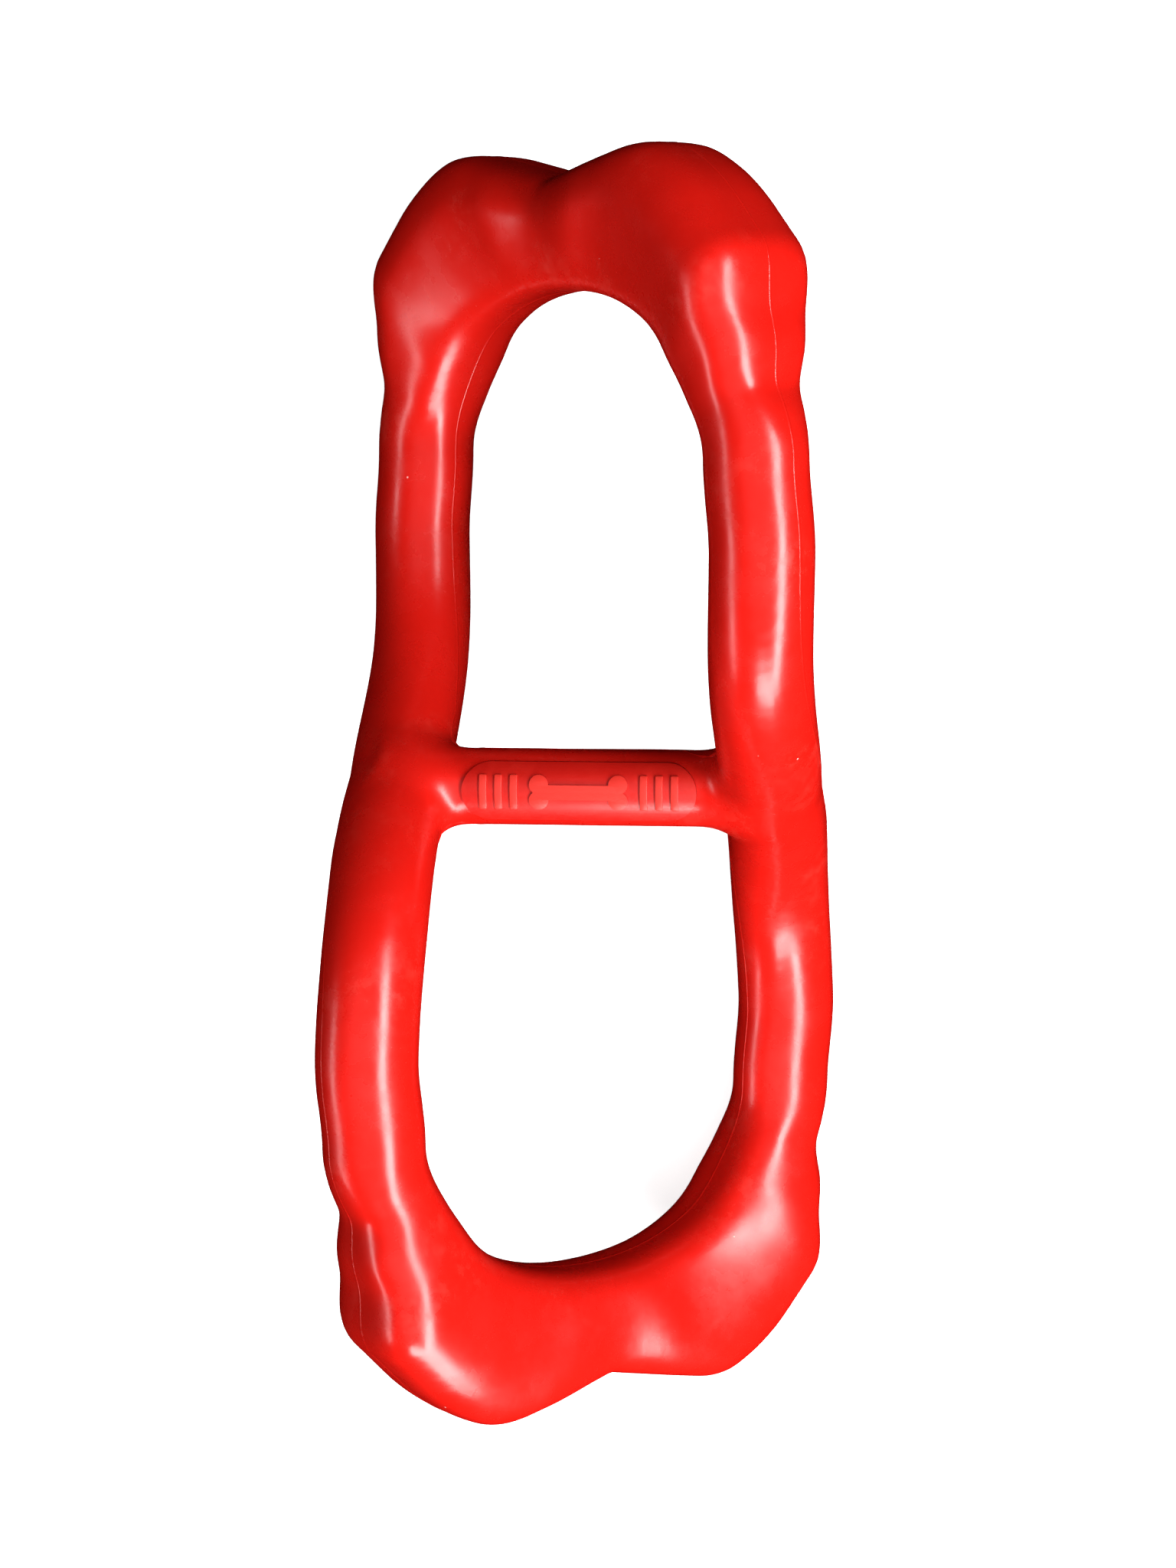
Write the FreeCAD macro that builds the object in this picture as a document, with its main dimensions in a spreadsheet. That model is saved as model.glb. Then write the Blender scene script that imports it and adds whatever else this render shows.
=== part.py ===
"""Figure-eight rubber tug toy: two hand loops set across each other on one round crossbar.

Frame: millimetres, origin at the middle of the crossbar, +X along the crossbar, +Y along the
toy towards the upper loop, +Z out of the badge on the crossbar.  The toy is symmetrical under
a half turn about each of the three axes, apart from the badge.

Each loop is drawn as if it lay flat, in two coordinates: `span` across the loop and `rise`
along it.  The flat loop is then turned about Y by an angle that grows with the rise, so the
two loops end up nearly square to each other.
"""

import FreeCAD, Part
import Sketcher
import os

# name: (value, what it is).  Lengths are millimetres and angles are degrees.
DIMENSIONS = {
    "loop_twist": (42.0, "angle that each loop turns out of the crossbar's flat"),
    "twist_run": (25.0, "rise over which most of that turn is made"),
    "waist_inner": (32.9, "half span between the rails at the crossbar"),
    "bulge_inner": (49.4, "half span between the rails at their widest"),
    "bulge_rise": (66.0, "rise of the widest place"),
    "flare_power": (1.3, "how slowly the rails leave the waist"),
    "rail_width": (24.4, "rail, measured across the loop"),
    "rail_depth": (23.4, "rail, measured through the loop"),
    "rail_corner": (11.3, "corner radius of the rail's section"),
    "arch_centre": (80.0, "rise of the centre that the arch fans out from"),
    "arch_taper": (1.6, "how much the half span draws in from the widest place to the arch's centre"),
    "arch_rise": (38.0, "height of the opening above the arch's centre"),
    "arch_fullness": (2.3, "power of the opening's oval: 2 is an ellipse, more is squarer"),
    "arch_pinch": (2.9, "how far the shoulders of the opening draw in from that oval"),
    "neck_wall": (21.4, "neck under each knuckle, measured out from the opening's half span"),
    "neck_depth": (24.6, "depth of the neck"),
    "side_wall": (16.5, "a knuckle's outer flat, measured out from the opening's half span"),
    "corner_wall": (35.3, "a knuckle's corner flat, measured out from the opening's oval"),
    "crown_wall": (38.8, "a knuckle's crown flat, measured out from the opening's oval"),
    "corner_angle": (43.0, "direction that the corner flat faces"),
    "crown_angle": (66.0, "direction that the crown flat faces"),
    "knuckle_depth": (35.6, "depth through a knuckle"),
    "knuckle_round": (11.6, "corner radius of a knuckle's section"),
    "notch_wall": (26.6, "thickness of the arch at the bottom of the notch"),
    "notch_angle": (102.5, "direction that the notch's slope faces"),
    "notch_depth": (30.5, "depth of the arch at the notch"),
    "bar_diameter": (18.5, "crossbar"),
    "pad_length": (56.4, "badge pad, end to end"),
    "pad_height": (14.0, "badge pad, across the bar"),
    "pad_raise": (0.9, "badge pad above the bar"),
    "mark_raise": (0.5, "raised marks above the pad"),
    "mark_margin": (2.8, "from the pad's long edge to the marks"),
    "rib_margin": (4.3, "from the pad's end to the last rib"),
    "rib_width": (1.8, "raised rib beside the bone"),
    "rib_pitch": (3.7, "from one rib to the next"),
    "bone_gap": (2.9, "between the bone and the rib next to it"),
    "bone_shank": (3.6, "width of the bone's middle"),
    "bone_knob": (4.6, "diameter of each of the bone's four knobs"),
}
RIBS_EACH_SIDE = 3

# Heights of the rail's sections, low to high.  The first ones lie past the crossbar, so that
# the rail is already running smoothly where it is cut at the middle.
RAIL_RISES = (-14, -7, 0, 7, 14, 23, 34, 48, 64)
# Directions of the arch's sections, from the rail up to the notch, seen from the arch's centre.
NECK_ANGLE = 17
KNUCKLE_ANGLES = (38, 73)
NOTCH_ANGLE = 90
ARCH_ANGLES = (0, 9, NECK_ANGLE, 24, 31, 38, 45, 52, 59, 66, 73, 81)
# Half of the square that trims a loop's feet, and how far the trim reaches down: well past both.
TRIM_REACH = 200
TRIM_DROP = 60
# How far the cylinders that the badge is cut from reach past its ends, both together.
LAYER_MARGIN = 20
# Coarseness of the mesh that the printed sizes are read from.
MESH_STEP = 0.2
ARCH_SPAN = "(dims.bulge_inner - dims.arch_taper)"


doc = FreeCAD.newDocument("TugToy")
sheet = doc.addObject("Spreadsheet::Sheet", "dims")
for row, (name, (value, note)) in enumerate(DIMENSIONS.items(), start=1):
    sheet.set(f"A{row}", note)
    sheet.set(f"B{row}", str(value))
    sheet.setAlias(f"B{row}", name)
doc.recompute()


def origin_plane(body, role):
    """One of a body's own origin planes, found by its role."""
    for feature in body.Origin.OriginFeatures:
        if feature.Role == role:
            return feature
    raise ValueError(role)


def new_sketch(body, name, role="XY_Plane", placement=None):
    """An empty sketch on an origin plane, moved by a placement expression if there is one."""
    sketch = body.newObject("Sketcher::SketchObject", name)
    sketch.AttachmentSupport = [(origin_plane(body, role), "")]
    sketch.MapMode = "FlatFace"
    if placement:
        sketch.setExpression("AttachmentOffset", placement)
    return sketch


def sheet_value(expression):
    """What an expression comes to with the sheet's present values."""
    value = sheet.evalExpression(expression.replace("dims.", ""))
    return float(getattr(value, "Value", value))


def bind(sketch, kind, refs, value, expression):
    """Add one dimension to a sketch and tie it to the sheet."""
    index = sketch.addConstraint(Sketcher.Constraint(kind, *refs, value))
    sketch.setExpression(f"Constraints[{index}]", expression)
    return index


def rounded_section(sketch, width, depth, corner):
    """A rounded rectangle centred on the sketch's origin: x is across, y is through."""
    half_x, half_y, radius = (sheet_value(size) for size in (f"({width}) / 2", f"({depth}) / 2", corner))
    corners = ((1, 1, 0), (-1, 1, 90), (-1, -1, 180), (1, -1, 270))
    arcs = []
    for sign_x, sign_y, start in corners:
        centre = FreeCAD.Vector(sign_x * (half_x - radius), sign_y * (half_y - radius), 0)
        circle = Part.Circle(centre, FreeCAD.Vector(0, 0, 1), radius)
        first = FreeCAD.Units.Quantity(start, "deg").getValueAs("rad").Value
        last = FreeCAD.Units.Quantity(start + 90, "deg").getValueAs("rad").Value
        arcs.append(sketch.addGeometry(Part.ArcOfCircle(circle, first, last)))
    lines = []
    for here, there in zip(arcs, arcs[1:] + arcs[:1]):
        begin = sketch.getPoint(here, 2)
        end = sketch.getPoint(there, 1)
        lines.append(sketch.addGeometry(Part.LineSegment(begin, end)))
    for index, (here, there) in enumerate(zip(arcs, arcs[1:] + arcs[:1])):
        sketch.addConstraint(Sketcher.Constraint("Tangent", here, 2, lines[index], 1))
        sketch.addConstraint(Sketcher.Constraint("Tangent", lines[index], 2, there, 1))
    top, left, bottom, right = lines
    sketch.addConstraint(Sketcher.Constraint("Horizontal", top))
    sketch.addConstraint(Sketcher.Constraint("Vertical", left))
    for arc in arcs[1:]:
        sketch.addConstraint(Sketcher.Constraint("Equal", arcs[0], arc))
    sketch.addConstraint(Sketcher.Constraint("Symmetric", arcs[0], 3, arcs[2], 3, -1, 1))
    bind(sketch, "Radius", (arcs[0],), radius, corner)
    bind(sketch, "DistanceX", (left, 1, right, 1), 2 * half_x, width)
    bind(sketch, "DistanceY", (bottom, 1, top, 1), 2 * half_y, depth)


def station_placement(span, rise, direction, twist, lean="0"):
    """Where a section stands: a point of the flat loop and the way its x points, both twisted.
    A leaning section is turned about its own x."""
    return (
        f"placement(vector(({span}) * cos({twist}); {rise}; ({span}) * sin({twist}));"
        f" rotation(vector(0; 1; 0); -({twist})) * rotation({direction}; 0; 90)"
        f" * rotation(vector(1; 0; 0); {lean}))"
    )


def twist_at(rise):
    return f"dims.loop_twist * tanh(({rise}) / dims.twist_run)"


def rail_station(body, name, rise, side):
    """A section of a rail.  The twist makes the rail lean through the loop, and the section
    leans with it, so that the rail keeps its depth."""
    height = abs(rise)
    flare = f"pow(sin(90 * min(1; {height} / dims.bulge_rise)); dims.flare_power)"
    inner = f"dims.waist_inner + (dims.bulge_inner - dims.waist_inner) * {flare}"
    span = f"({inner} + dims.rail_width / 2)"
    fade = f"(1 - pow(tanh({height} / dims.twist_run); 2))"
    lean = f"atan({span} * dims.loop_twist * pi / 180 / dims.twist_run * {fade})"
    direction = 0 if side > 0 else 180
    place = station_placement(f"{side} * {span}", rise, direction, twist_at(rise), lean)
    sketch = new_sketch(body, name, placement=place)
    rounded_section(sketch, "dims.rail_width", "dims.rail_depth", "dims.rail_corner")
    return sketch


def eased(share):
    """A share from 0 to 1 that starts and ends level."""
    return share * share * (3 - 2 * share)


def facet(distance, normal, angle):
    """Radius, in the direction angle, of a straight facet that faces the direction normal."""
    return f"{distance} / cos({angle} - {normal})"


def oval(angle):
    """Radius of the opening's oval, before its shoulders are drawn in."""
    across = f"pow(cos({angle}) / {ARCH_SPAN}; dims.arch_fullness)"
    along = f"pow(sin({angle}) / dims.arch_rise; dims.arch_fullness)"
    return f"1 / pow({across} + {along}; 1 / dims.arch_fullness)"


def arch_outer(angle):
    """Outer radius of the arch: the rail's side, then the neck, then the knuckle's flats."""
    if angle <= NECK_ANGLE:
        share = angle / NECK_ANGLE
        return f"({ARCH_SPAN} + dims.rail_width * {1 - share} + dims.neck_wall * {share})"
    flats = (
        facet(f"({ARCH_SPAN} + dims.side_wall)", "0", angle),
        facet(f"({oval('dims.corner_angle')} + dims.corner_wall)", "dims.corner_angle", angle),
        facet(f"({oval('dims.crown_angle')} + dims.crown_wall)", "dims.crown_angle", angle),
        facet(
            "((dims.arch_rise + dims.notch_wall) * cos(dims.notch_angle - 90))",
            "dims.notch_angle",
            angle,
        ),
    )
    return f"min({'; '.join(flats)})"


def arch_depth(angle):
    """Depth of the arch, eased from rail to neck to knuckle to notch."""
    first_knuckle, last_knuckle = KNUCKLE_ANGLES
    stops = (
        (0, "rail_depth"),
        (NECK_ANGLE, "neck_depth"),
        (first_knuckle, "knuckle_depth"),
        (last_knuckle, "knuckle_depth"),
        (NOTCH_ANGLE, "notch_depth"),
    )
    for (low, before), (high, after) in zip(stops, stops[1:]):
        if angle <= high:
            share = eased((angle - low) / (high - low))
            return f"(dims.{before} * {1 - share} + dims.{after} * {share})"
    raise ValueError(angle)


def arch_station(body, name, angle, side):
    """A section of the arch, standing on a ray from the arch's centre."""
    inner = f"({oval(angle)} - dims.arch_pinch * max(0; sin(4 * {angle})))"
    outer = arch_outer(angle)
    middle = f"(({inner} + {outer}) / 2)"
    span = f"{side} * {middle} * cos({angle})"
    rise = f"(dims.arch_centre + {middle} * sin({angle}))"
    direction = angle if side > 0 else 180 - angle
    place = station_placement(span, rise, direction, twist_at(rise))
    sketch = new_sketch(body, name, placement=place)
    share = min(1, angle / KNUCKLE_ANGLES[0])
    corner = f"(dims.rail_corner * {1 - share} + dims.knuckle_round * {share})"
    rounded_section(sketch, f"{outer} - {inner}", arch_depth(angle), corner)
    return sketch


def make_loop(label, turn):
    """One hand loop, lofted from rail to rail over its arch and cut flat at the crossbar's
    middle, where it meets the other loop."""
    body = doc.addObject("PartDesign::Body", label)
    body.Label = label
    stations = []
    for index, rise in enumerate(RAIL_RISES):
        stations.append(rail_station(body, f"{label}_rail_{index}", rise, 1))
    for angle in ARCH_ANGLES:
        stations.append(arch_station(body, f"{label}_arch_{angle}", angle, 1))
    stations.append(arch_station(body, f"{label}_notch", NOTCH_ANGLE, 1))
    for angle in reversed(ARCH_ANGLES):
        stations.append(arch_station(body, f"{label}_arch_{180 - angle}", angle, -1))
    for index, rise in reversed(list(enumerate(RAIL_RISES))):
        stations.append(rail_station(body, f"{label}_far_rail_{index}", rise, -1))
    doc.recompute()
    loft = body.newObject("PartDesign::AdditiveLoft", f"{label}_loft")
    loft.Profile = stations[0]
    loft.Sections = stations[1:]
    loft.Ruled = False
    loft.Closed = False
    doc.recompute()
    whole = body.Shape.Volume

    trim = new_sketch(body, f"{label}_trim", "XZ_Plane")
    square = [(-1, -1), (1, -1), (1, 1), (-1, 1)]
    corners = [FreeCAD.Vector(x * TRIM_REACH, y * TRIM_REACH, 0) for x, y in square]
    for here, there in zip(corners, corners[1:] + corners[:1]):
        trim.addGeometry(Part.LineSegment(here, there))
    for index in range(4):
        trim.addConstraint(Sketcher.Constraint("Coincident", index, 2, (index + 1) % 4, 1))
        trim.addConstraint(Sketcher.Constraint("Block", index))
    pocket = body.newObject("PartDesign::Pocket", f"{label}_foot")
    pocket.Profile = trim
    pocket.Length = TRIM_DROP
    pocket.Reversed = True
    doc.recompute()
    if body.Shape.Volume >= whole or min(point.Y for point in body.Shape.Vertexes) < -0.001:
        raise RuntimeError(f"{label}: the feet were not trimmed")
    body.Placement = FreeCAD.Placement(
        FreeCAD.Vector(0, 0, 0), FreeCAD.Rotation(FreeCAD.Vector(0, 0, 1), turn)
    )
    return body


def round_bar(name, radius, length):
    """A round bar along X, its middle at the origin."""
    body = doc.addObject("PartDesign::Body", name)
    sketch = new_sketch(body, f"{name}_circle", "YZ_Plane")
    drawn = sheet_value(radius)
    circle = Part.Circle(FreeCAD.Vector(0, 0, 0), FreeCAD.Vector(0, 0, 1), drawn)
    index = sketch.addGeometry(circle)
    sketch.addConstraint(Sketcher.Constraint("Coincident", index, 3, -1, 1))
    bind(sketch, "Radius", (index,), drawn, radius)
    pad = body.newObject("PartDesign::Pad", f"{name}_pad")
    pad.Profile = sketch
    pad.Midplane = True
    pad.setExpression("Length", length)
    doc.recompute()
    return body


upper = make_loop("upper_loop", 0)
lower = make_loop("lower_loop", 180)

# The crossbar reaches to the middle of each rail and is cut back to the rails' own faces.
bar_stock = round_bar("bar_stock", "dims.bar_diameter / 2", "2 * dims.waist_inner + dims.rail_width")
rails = doc.addObject("Part::Fuse", "rails")
rails.Base = upper
rails.Tool = lower
bar = doc.addObject("Part::Cut", "grip_bar")
bar.Label = "grip_bar"
bar.Base = bar_stock
bar.Tool = rails
doc.recompute()


def cylinder(name, radius):
    """A cylinder along X around the crossbar's axis, as long as the badge pad and more."""
    item = doc.addObject("Part::Cylinder", name)
    item.setExpression("Radius", radius)
    item.setExpression("Height", f"dims.pad_length + {LAYER_MARGIN}")
    item.setExpression(
        "Placement",
        f"placement(vector(-(dims.pad_length + {LAYER_MARGIN}) / 2; 0; 0); rotation(vector(0; 1; 0); 90))",
    )
    return item


def shell(name, inner, outer):
    """The layer between two radii around the crossbar."""
    item = doc.addObject("Part::Cut", name)
    item.Base = cylinder(f"{name}_outside", outer)
    item.Tool = cylinder(f"{name}_inside", inner)
    return item


def upright_box(name, length, width, x, y="0"):
    """A box standing on the crossbar's axis plane, centred on x and y."""
    item = doc.addObject("Part::Box", name)
    item.setExpression("Length", length)
    item.setExpression("Width", width)
    item.setExpression("Height", "dims.bar_diameter")
    item.setExpression("Placement.Base.x", f"{x} - ({length}) / 2")
    item.setExpression("Placement.Base.y", f"{y} - ({width}) / 2")
    return item


def upright_cylinder(name, diameter, x, y="0"):
    item = doc.addObject("Part::Cylinder", name)
    item.setExpression("Radius", f"({diameter}) / 2")
    item.setExpression("Height", "dims.bar_diameter")
    item.setExpression("Placement.Base.x", x)
    item.setExpression("Placement.Base.y", y)
    return item


def fused(name, items):
    item = doc.addObject("Part::MultiFuse", name)
    item.Shapes = items
    item.Refine = True
    return item


def common(name, base, tool):
    item = doc.addObject("Part::Common", name)
    item.Base = base
    item.Tool = tool
    return item


BAR_FACE = "dims.bar_diameter / 2"
PAD_FACE = "dims.bar_diameter / 2 + dims.pad_raise"
MARK_FACE = "dims.bar_diameter / 2 + dims.pad_raise + dims.mark_raise"

# Badge pad: a pill outline pressed through the layer that lies on the bar.  Like the bar, it
# ends at the rails if it is long enough to reach them.
pill_end = "(dims.pad_length - dims.pad_height) / 2"
pill = fused(
    "pill",
    [
        upright_box("pill_middle", "dims.pad_length - dims.pad_height", "dims.pad_height", "0"),
        upright_cylinder("pill_left", "dims.pad_height", f"-{pill_end}"),
        upright_cylinder("pill_right", "dims.pad_height", pill_end),
    ],
)
pad = doc.addObject("Part::Cut", "badge_pad")
pad.Label = "badge_pad"
pad.Base = common("pad_stock", pill, shell("pad_layer", BAR_FACE, PAD_FACE))
pad.Tool = rails

# Raised marks: a plain bone with short ribs on each side of it.  The ribs keep their distance
# from the pad's ends, the bone fills what is left between them, and all are equally high.
mark_height = "(dims.pad_height - 2 * dims.mark_margin)"
last_rib = "(dims.pad_length / 2 - dims.rib_margin - dims.rib_width / 2)"
first_rib = f"({last_rib} - {RIBS_EACH_SIDE - 1} * dims.rib_pitch)"
bone_end = f"({first_rib} - dims.rib_width / 2 - dims.bone_gap - dims.bone_knob / 2)"
bone_parts = [upright_box("bone_middle", f"2 * {bone_end}", "dims.bone_shank", "0")]
for side, word in ((-1, "left"), (1, "right")):
    for up, place in ((-1, "low"), (1, "high")):
        bone_parts.append(
            upright_cylinder(
                f"bone_{word}_{place}",
                "dims.bone_knob",
                f"{side} * {bone_end}",
                f"{up} * ({mark_height} - dims.bone_knob) / 2",
            )
        )
marks = [fused("bone", bone_parts)]
for side, word in ((-1, "left"), (1, "right")):
    for count in range(RIBS_EACH_SIDE):
        x = f"{side} * ({first_rib} + {count} * dims.rib_pitch)"
        marks.append(upright_box(f"rib_{word}_{count}", "dims.rib_width", mark_height, x))
mark_block = doc.addObject("Part::Compound", "mark_block")
mark_block.Links = marks
relief = common("badge_relief", mark_block, shell("mark_layer", PAD_FACE, MARK_FACE))
relief.Label = "badge_relief"
doc.recompute()

SUBPARTS = (upper, lower, bar, pad, relief)

for item in doc.Objects:
    if "Invalid" in item.State or "Error" in item.State:
        raise RuntimeError(f"{item.Name} failed: {item.State}")
for item in SUBPARTS:
    if item.Shape.isNull() or not item.Shape.isValid():
        raise RuntimeError(f"{item.Label} has no valid shape")

os.makedirs("parts", exist_ok=True)
for item in SUBPARTS:
    item.Shape.exportStep(f"parts/{item.Label}.step")
    points, _ = item.Shape.tessellate(MESH_STEP)
    spans = []
    for axis in "xyz":
        places = [getattr(point, axis) for point in points]
        spans.append(f"{axis} {min(places):.1f}..{max(places):.1f}")
    volume = item.Shape.Volume / 1000
    print(f"{item.Label}: {len(item.Shape.Solids)} solid(s), {volume:.2f} cm3, {' '.join(spans)}")
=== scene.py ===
"""Looks of a figure-eight rubber tug toy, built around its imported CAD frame.

The toy is one moulding of red natural rubber.  Its surface is worked out here as a level set: two
twisted hand loops and a crossbar, run together with fillets as the mould's cavity has them.  The
badge on the crossbar, its raised marks and the mould's parting line are pieces of their own.
Everything is in metres, in the frame of the CAD model.
"""

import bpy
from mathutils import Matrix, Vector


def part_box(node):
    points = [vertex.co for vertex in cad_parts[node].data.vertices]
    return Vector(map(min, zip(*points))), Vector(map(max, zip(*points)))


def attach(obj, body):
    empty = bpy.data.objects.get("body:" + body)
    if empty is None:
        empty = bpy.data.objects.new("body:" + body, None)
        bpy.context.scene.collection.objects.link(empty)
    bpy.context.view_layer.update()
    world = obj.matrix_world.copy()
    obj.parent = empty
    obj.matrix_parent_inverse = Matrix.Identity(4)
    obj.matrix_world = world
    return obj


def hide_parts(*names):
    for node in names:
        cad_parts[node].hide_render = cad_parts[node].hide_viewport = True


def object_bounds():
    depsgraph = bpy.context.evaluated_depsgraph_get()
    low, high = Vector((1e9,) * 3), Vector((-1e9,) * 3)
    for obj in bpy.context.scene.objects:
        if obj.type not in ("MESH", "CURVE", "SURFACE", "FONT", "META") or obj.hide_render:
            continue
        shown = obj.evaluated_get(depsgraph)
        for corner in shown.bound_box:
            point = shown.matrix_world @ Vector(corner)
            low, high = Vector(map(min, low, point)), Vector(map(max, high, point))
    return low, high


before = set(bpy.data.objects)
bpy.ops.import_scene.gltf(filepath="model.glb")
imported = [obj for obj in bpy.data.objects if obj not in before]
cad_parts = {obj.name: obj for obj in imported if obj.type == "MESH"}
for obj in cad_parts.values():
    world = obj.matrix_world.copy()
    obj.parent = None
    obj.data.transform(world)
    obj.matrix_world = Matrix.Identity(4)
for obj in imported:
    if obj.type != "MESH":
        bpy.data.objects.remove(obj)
CAD_BOX = [list(corner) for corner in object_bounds()]

import math

import bmesh
import bpy
import numpy as np
from mathutils import Matrix, Vector

bl_info = {
    "name": "Rubber Tug Toy",
    "version": (1, 0, 0),
    "blender": (4, 5, 0),
    "location": "View3D > Sidebar > Tug Toy",
    "description": "Builds a moulded rubber tug toy with two hand loops on a crossbar",
    "category": "Object",
}

MM = 0.001
BODY = "root"


def linear(hex_colour):
    """An sRGB hex colour as linear red, green, blue."""
    values = [int(hex_colour[at : at + 2], 16) / 255 for at in (1, 3, 5)]
    return tuple(v / 12.92 if v <= 0.04045 else ((v + 0.055) / 1.055) ** 2.4 for v in values)


BAR_LOW, BAR_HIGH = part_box("grip_bar")
BAR_RADIUS = (BAR_HIGH[2] - BAR_LOW[2]) / 2
PAD_LOW, PAD_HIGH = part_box("badge_pad")
MARK_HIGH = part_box("badge_relief")[1]


def length(name, description, millimetres):
    """A length that a user may change."""
    return bpy.props.FloatProperty(
        name=name, description=description, default=millimetres * MM, unit="LENGTH", precision=5
    )


def angle(name, description, degrees):
    """An angle that a user may change."""
    return bpy.props.FloatProperty(
        name=name, description=description, default=math.radians(degrees), unit="ROTATION"
    )


def number(name, description, value):
    """A plain number that a user may change."""
    return bpy.props.FloatProperty(name=name, description=description, default=value)


def colour(name, description, hex_colour):
    """A colour that a user may change."""
    return bpy.props.FloatVectorProperty(
        name=name,
        description=description,
        default=linear(hex_colour),
        size=3,
        subtype="COLOR",
        min=0.0,
        max=1.0,
    )


class TugToyShape(bpy.types.PropertyGroup):
    """Sizes of the moulding, the same ones as the CAD model's."""

    loop_twist: angle("Loop twist", "Angle that each loop turns out of the crossbar's flat", 42.0)
    twist_run: length("Twist run", "Rise over which most of that turn is made", 25.0)
    waist_inner: length("Waist", "Half span between the rails at the crossbar", 32.9)
    bulge_inner: length("Bulge", "Half span between the rails at their widest", 49.4)
    bulge_rise: length("Bulge rise", "Rise of the widest place", 66.0)
    flare_power: number("Flare", "How slowly the rails leave the waist", 1.3)
    rail_width: length("Rail width", "Rail, measured across the loop", 24.4)
    rail_depth: length("Rail depth", "Rail, measured through the loop", 23.4)
    arch_centre: length("Arch centre", "Rise of the centre that the arch fans out from", 80.0)
    arch_taper: length("Arch taper", "How much the half span draws in up to the arch", 1.6)
    arch_rise: length("Arch rise", "Height of the opening above the arch's centre", 38.0)
    arch_fullness: number("Arch fullness", "Power of the opening's oval", 2.1)
    arch_pinch: length("Arch pinch", "How far the opening's shoulders draw in", 1.4)
    neck_wall: length("Neck", "Neck under a knuckle, out from the opening's half span", 21.0)
    side_wall: length("Side flat", "A knuckle's outer flat, out from the half span", 16.9)
    corner_wall: length("Corner flat", "A knuckle's corner flat, out from the oval", 35.9)
    crown_wall: length("Crown flat", "A knuckle's crown flat, out from the oval", 39.4)
    notch_wall: length("Notch wall", "Thickness of the arch at the bottom of the notch", 26.4)
    corner_angle: angle("Corner facing", "Direction that the corner flat faces", 43.0)
    crown_angle: angle("Crown facing", "Direction that the crown flat faces", 66.0)
    notch_angle: angle("Notch slope", "Direction that the notch's slope faces", 102.5)
    neck_depth: length("Neck depth", "Depth of the neck", 24.4)
    knuckle_depth: length("Knuckle depth", "Depth through a knuckle", 35.6)
    notch_depth: length("Notch depth", "Depth of the arch at the notch", 30.5)
    inner_slim: number("Inner slimming", "How far a knuckle slims to the rail at the opening", 0.85)
    knuckle_power: number("Knuckle section", "Power of a knuckle's section", 3.3)
    knuckle_edge: length("Knuckle edge", "Rounding where two flats of a knuckle meet", 4.0)
    bar_fillet: length("Bar fillet", "Fillet between the crossbar and the rails", 7.0)
    waviness: length("Waviness", "Unevenness of the moulded surface", 0.035)
    softening: bpy.props.IntProperty(
        name="Softening",
        description="Rounds of smoothing between one form and the next",
        default=40,
    )
    mesh_pitch: length("Mesh pitch", "Spacing of the surface's mesh", 1.1)
    seam_raise: length("Parting line", "How far the mould's parting line stands up", 0.10)
    seam_radius: length("Parting line radius", "Radius of the parting line's round back", 0.8)


class TugToyBadge(bpy.types.PropertyGroup):
    """Sizes of the badge's rims and of the raised marks on it."""

    pad_foot: length("Pad foot", "How far the pad's foot reaches into the crossbar", 0.8)
    pad_rim: length("Pad rim", "Rounding of the pad's rim", 0.35)
    mark_foot: length("Mark foot", "How far a mark's foot reaches into the pad", 0.3)
    mark_rim: length("Mark rim", "Rounding of a mark's rim", 0.14)
    bone_reach: length("Bone", "From the bone's middle to the middle of its knobs", 9.5)
    bone_shank: length("Bone shank", "Width of the bone's middle", 3.6)
    bone_knob: length("Bone knob", "Diameter of each of the bone's four knobs", 4.6)
    bone_spread: length("Bone spread", "Between the middles of two knobs at one end", 3.8)
    rib_half_width: length("Rib half width", "Half the width of a rib beside the bone", 0.9)
    rib_half_height: length("Rib half height", "Half the height of a rib", 4.2)
    rib_corner: length("Rib corner", "Corner radius of a rib", 0.3)
    rib_first: length("First rib", "From the bone's middle to the rib next to it", 15.6)
    rib_pitch: length("Rib pitch", "From one rib to the next", 3.7)


class TugToyFinish(bpy.types.PropertyGroup):
    """Colours of the rubber and of the sheet under the toy."""

    rubber: colour("Rubber", "Red pigmented natural rubber", "#CE170F")
    rubber_worn: colour("Handled rubber", "The same rubber where it is dusty or handled", "#D22A20")
    dust: colour("Dust", "Specks of dust on the rubber", "#F2B9B2")
    badge: colour("Badge", "Etched rubber of the badge", "#B8140D")
    badge_worn: colour("Handled badge", "The badge's rubber where it is handled", "#C21C14")
    # Painted shade: a dark rim round the pad's foot, where the pad's wall stands in shadow.
    badge_foot: colour("Badge foot", "Dirt in the corner round the pad's foot", "#5A0503")
    # Painted light: the tops of the raised marks are made lighter so that the low relief shows.
    marks: colour("Marks", "Rubbed tops of the raised marks", "#CC2A20")
    floor: colour("Floor", "Sheet that the toy lies on", "#FAFAFA")


class TugToyStage(bpy.types.PropertyGroup):
    """Camera and lights."""

    azimuth: angle("Camera azimuth", "Turn of the camera to the toy's right", 7.53)
    elevation: angle("Camera elevation", "Turn of the camera towards the upper loop", 7.84)
    roll: angle("Camera roll", "Roll of the camera", 0.42)
    distance: length("Camera distance", "From the crossbar to the camera", 754.6)
    lens: bpy.props.FloatProperty(
        name="Focal length",
        description="Focal length of the camera",
        default=71.93,
        unit="CAMERA",
    )
    key: number("Key light", "Power of the large soft light, in watts", 27.0)


# ---------------------------------------------------------------------------------------------
# Shape of the moulding
# ---------------------------------------------------------------------------------------------


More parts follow.
